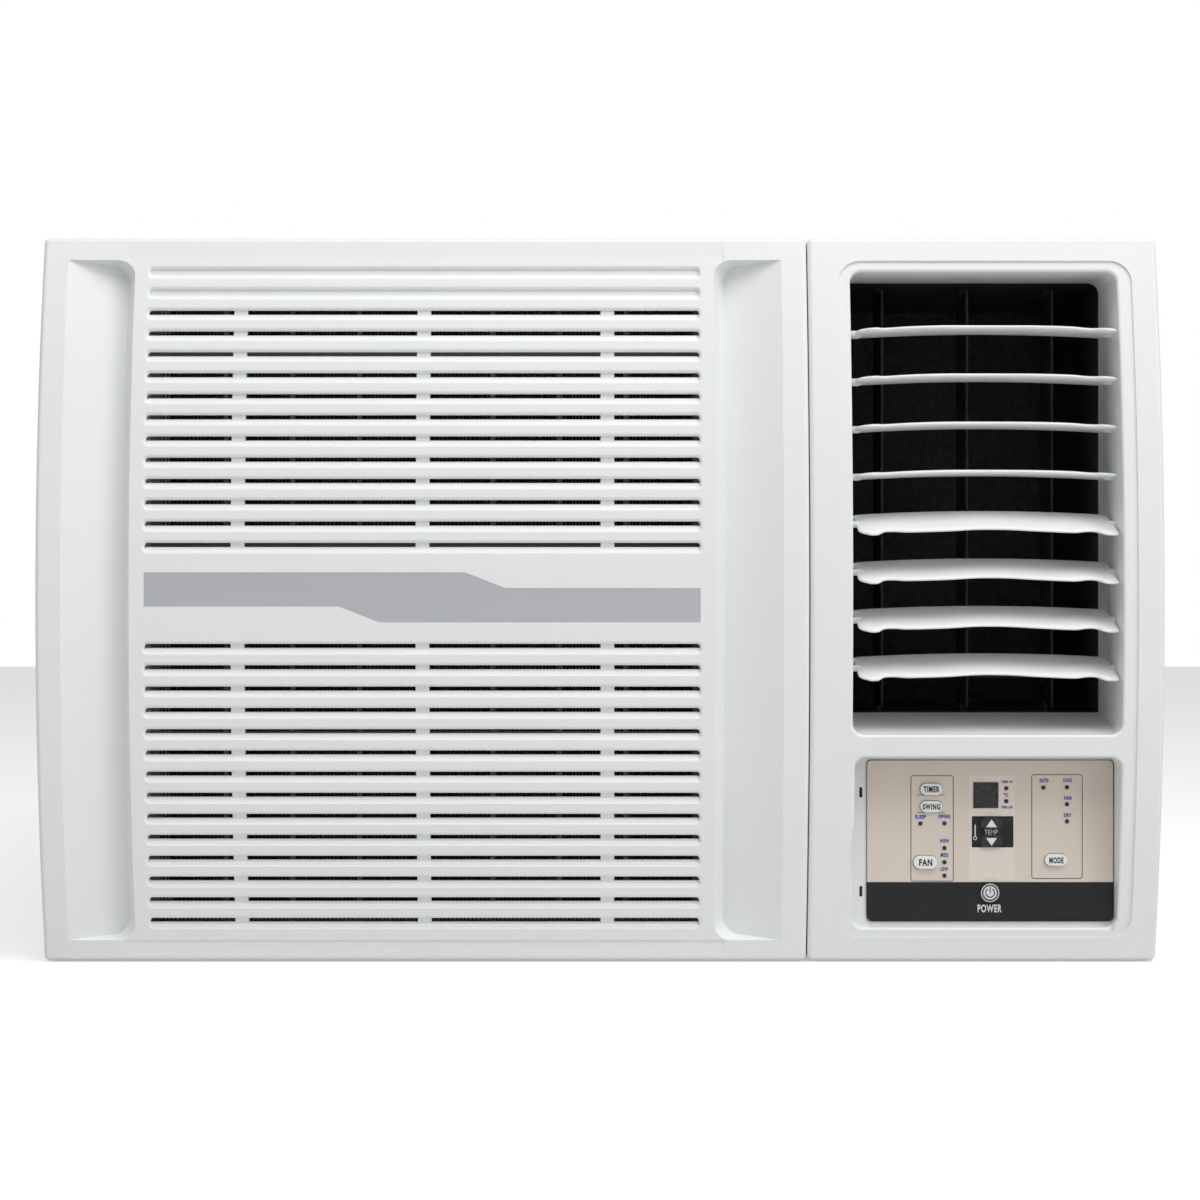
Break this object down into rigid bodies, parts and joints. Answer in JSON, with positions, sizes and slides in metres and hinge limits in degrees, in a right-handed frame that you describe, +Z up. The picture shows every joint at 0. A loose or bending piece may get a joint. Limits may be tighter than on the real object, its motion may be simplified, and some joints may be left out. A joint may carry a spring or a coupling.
{
  "type": "window air conditioner",
  "caption": "Window air conditioner with a bowed front: slotted intake panel on the left, louvred outlet and covered controls on the right, steel sleeve behind.",
  "frame": {"origin": "under the middle of the unit, on the surface it stands on", "axes": "+Z up, +Y from the front towards the outdoor side, +X to the right of someone facing the front"},
  "size_m": [0.66, 0.7, 0.43],
  "materials": {
    "white_plastic": "satin moulded",
    "badge_silver": "brushed foil",
    "cabinet_paint": "powder coat",
    "galvanised": "galvanised sheet",
    "black_paint": "satin",
    "black_plastic": "moulded",
    "foam_black": "moulded",
    "fin_aluminium": "rolled",
    "copper": "drawn tube",
    "steel": "ground",
    "zinc_screw": "zinc plated",
    "rubber": "moulded",
    "filter_plastic": "moulded",
    "filter_weave": "woven",
    "label_print": "printed film",
    "button_white": "moulded",
    "button_black": "moulded",
    "display_glass": "tinted",
    "lamp_plastic": "clear",
    "board_green": "lacquered",
    "clear_plastic": "clear"
  },
  "bodies": {
    "cabinet": {"cabinet_shell": "cabinet_paint", "rear_guard": "black_paint"},
    "chassis": {"base_pan": "galvanised", "front_frame": "white_plastic", "bulkhead": "galvanised", "control_label": "label_print", "control_board": "board_green", "indicator_lamps": "lamp_plastic", "display_window": "display_glass", "display_module": "black_plastic", "fan_motor": "black_paint", "motor_bracket": "galvanised", "blower_scroll": "foam_black", "outlet_duct": "foam_black", "condenser_shroud": "galvanised", "evaporator_fins": "fin_aluminium", "evaporator_bends": "copper", "condenser_fins": "fin_aluminium", "condenser_bends": "copper", "compressor": "black_paint", "compressor_grommets": "rubber", "suction_pipe": "copper", "discharge_pipe": "copper", "capillary_tube": "copper", "electrical_box": "galvanised", "run_capacitor": "fin_aluminium", "drain_spigot": "black_plastic", "cord_grommet": "rubber", "frame_screws": "zinc_screw", "swing_motor": "white_plastic"},
    "fan_set": {"fan_shaft": "steel", "blower_wheel": "black_plastic", "condenser_fan": "black_plastic"},
    "intake_panel": {"intake_panel": "white_plastic", "badge_strip": "badge_silver"},
    "air_filter": {"filter_frame": "filter_plastic", "filter_mesh": "filter_weave"},
    "control_cover": {"control_cover": "clear_plastic"},
    "upper_louvre_link": {"upper_louvre_link": "white_plastic"},
    "lower_louvre_link": {"lower_louvre_link": "white_plastic"},
    "vane_link": {"vane_link": "black_plastic"},
    "upper_louvre_1": {"upper_louvre_1": "white_plastic"},
    "upper_louvre_2": {"upper_louvre_2": "white_plastic"},
    "upper_louvre_3": {"upper_louvre_3": "white_plastic"},
    "upper_louvre_4": {"upper_louvre_4": "white_plastic"},
    "lower_louvre_1": {"lower_louvre_1": "white_plastic"},
    "lower_louvre_2": {"lower_louvre_2": "white_plastic"},
    "lower_louvre_3": {"lower_louvre_3": "white_plastic"},
    "lower_louvre_4": {"lower_louvre_4": "white_plastic"},
    "swing_vane_1": {"swing_vane_1": "black_plastic"},
    "swing_vane_2": {"swing_vane_2": "black_plastic"},
    "swing_vane_3": {"swing_vane_3": "black_plastic"},
    "timer_button": {"timer_button": "button_white"},
    "swing_button": {"swing_button": "button_white"},
    "fan_button": {"fan_button": "button_white"},
    "mode_button": {"mode_button": "button_white"},
    "temp_up_button": {"temp_up_button": "button_black"},
    "temp_down_button": {"temp_down_button": "button_black"},
    "power_button": {"power_button": "button_black"}
  },
  "joints": [
    {"name": "chassis_slide", "type": "slide", "parent": "cabinet", "child": "chassis", "axis": [0, -1, 0], "range_m": [0, 0.45]},
    {"name": "fan_spin", "type": "hinge", "parent": "chassis", "child": "fan_set", "pos_m": [-0.07, 0, 0.215], "axis": [0, 1, 0], "continuous": true},
    {"name": "intake_panel_hinge", "type": "hinge", "parent": "chassis", "child": "intake_panel", "pos_m": [0, -0.298, 0.42], "axis": [-1, 0, 0], "range_deg": [0, 70]},
    {"name": "filter_slide", "type": "slide", "parent": "intake_panel", "child": "air_filter", "axis": [0, 0, 1], "range_m": [0, 0.38]},
    {"name": "control_cover_hinge", "type": "hinge", "parent": "chassis", "child": "control_cover", "pos_m": [0.3032, -0.32825, 0.07185], "axis": [0, 0, 1], "range_deg": [0, 85]},
    {"name": "upper_louvre_tilt", "type": "hinge", "parent": "chassis", "child": "upper_louvre_1", "pos_m": [0.227, -0.31476, 0.374], "axis": [1, 0, 0], "range_deg": [-35, 40]},
    {"name": "upper_louvre_2_turn", "type": "hinge", "parent": "chassis", "child": "upper_louvre_2", "pos_m": [0.227, -0.31476, 0.3455], "axis": [1, 0, 0], "range_deg": [-35, 40]},
    {"name": "upper_louvre_3_turn", "type": "hinge", "parent": "chassis", "child": "upper_louvre_3", "pos_m": [0.227, -0.31476, 0.317], "axis": [1, 0, 0], "range_deg": [-35, 40]},
    {"name": "upper_louvre_4_turn", "type": "hinge", "parent": "chassis", "child": "upper_louvre_4", "pos_m": [0.227, -0.31476, 0.2885], "axis": [1, 0, 0], "range_deg": [-35, 40]},
    {"name": "upper_louvre_link_pivot", "type": "hinge", "parent": "upper_louvre_1", "child": "upper_louvre_link", "pos_m": [0.1499, -0.30276, 0.374], "axis": [1, 0, 0], "range_deg": [-40, 35]},
    {"name": "lower_louvre_tilt", "type": "hinge", "parent": "chassis", "child": "lower_louvre_1", "pos_m": [0.227, -0.322, 0.26], "axis": [1, 0, 0], "range_deg": [-50, 20]},
    {"name": "lower_louvre_2_turn", "type": "hinge", "parent": "chassis", "child": "lower_louvre_2", "pos_m": [0.227, -0.322, 0.2315], "axis": [1, 0, 0], "range_deg": [-50, 20]},
    {"name": "lower_louvre_3_turn", "type": "hinge", "parent": "chassis", "child": "lower_louvre_3", "pos_m": [0.227, -0.322, 0.203], "axis": [1, 0, 0], "range_deg": [-50, 20]},
    {"name": "lower_louvre_4_turn", "type": "hinge", "parent": "chassis", "child": "lower_louvre_4", "pos_m": [0.227, -0.322, 0.1745], "axis": [1, 0, 0], "range_deg": [-50, 20]},
    {"name": "lower_louvre_link_pivot", "type": "hinge", "parent": "lower_louvre_1", "child": "lower_louvre_link", "pos_m": [0.1499, -0.31065, 0.26391], "axis": [1, 0, 0], "range_deg": [-20, 50]},
    {"name": "vane_swing", "type": "hinge", "parent": "chassis", "child": "swing_vane_1", "pos_m": [0.17433, -0.246, 0.27775], "axis": [0, 0, 1], "range_deg": [-35, 35]},
    {"name": "swing_vane_2_turn", "type": "hinge", "parent": "chassis", "child": "swing_vane_2", "pos_m": [0.227, -0.246, 0.27775], "axis": [0, 0, 1], "range_deg": [-35, 35]},
    {"name": "swing_vane_3_turn", "type": "hinge", "parent": "chassis", "child": "swing_vane_3", "pos_m": [0.27967, -0.246, 0.27775], "axis": [0, 0, 1], "range_deg": [-35, 35]},
    {"name": "vane_link_pivot", "type": "hinge", "parent": "swing_vane_1", "child": "vane_link", "pos_m": [0.17433, -0.234, 0.167], "axis": [0, 0, 1], "range_deg": [-35, 35]},
    {"name": "timer_button_press", "type": "slide", "parent": "chassis", "child": "timer_button", "axis": [0, 1, 0], "range_m": [0, 0.001], "stiffness_N_per_m": 600},
    {"name": "swing_button_press", "type": "slide", "parent": "chassis", "child": "swing_button", "axis": [0, 1, 0], "range_m": [0, 0.001], "stiffness_N_per_m": 600},
    {"name": "fan_button_press", "type": "slide", "parent": "chassis", "child": "fan_button", "axis": [0, 1, 0], "range_m": [0, 0.001], "stiffness_N_per_m": 600},
    {"name": "mode_button_press", "type": "slide", "parent": "chassis", "child": "mode_button", "axis": [0, 1, 0], "range_m": [0, 0.001], "stiffness_N_per_m": 600},
    {"name": "temp_up_button_press", "type": "slide", "parent": "chassis", "child": "temp_up_button", "axis": [0, 1, 0], "range_m": [0, 0.001], "stiffness_N_per_m": 600},
    {"name": "temp_down_button_press", "type": "slide", "parent": "chassis", "child": "temp_down_button", "axis": [0, 1, 0], "range_m": [0, 0.001], "stiffness_N_per_m": 600},
    {"name": "power_button_press", "type": "slide", "parent": "chassis", "child": "power_button", "axis": [0, 1, 0], "range_m": [0, 0.001], "stiffness_N_per_m": 600}
  ],
  "couplings": [
    {"joint": "upper_louvre_2_turn", "follows": "upper_louvre_tilt", "ratio": 1},
    {"joint": "upper_louvre_3_turn", "follows": "upper_louvre_tilt", "ratio": 1},
    {"joint": "upper_louvre_4_turn", "follows": "upper_louvre_tilt", "ratio": 1},
    {"joint": "upper_louvre_link_pivot", "follows": "upper_louvre_tilt", "ratio": -1},
    {"joint": "lower_louvre_2_turn", "follows": "lower_louvre_tilt", "ratio": 1},
    {"joint": "lower_louvre_3_turn", "follows": "lower_louvre_tilt", "ratio": 1},
    {"joint": "lower_louvre_4_turn", "follows": "lower_louvre_tilt", "ratio": 1},
    {"joint": "lower_louvre_link_pivot", "follows": "lower_louvre_tilt", "ratio": -1},
    {"joint": "swing_vane_2_turn", "follows": "vane_swing", "ratio": 1},
    {"joint": "swing_vane_3_turn", "follows": "vane_swing", "ratio": 1},
    {"joint": "vane_link_pivot", "follows": "vane_swing", "ratio": -1}
  ]
}
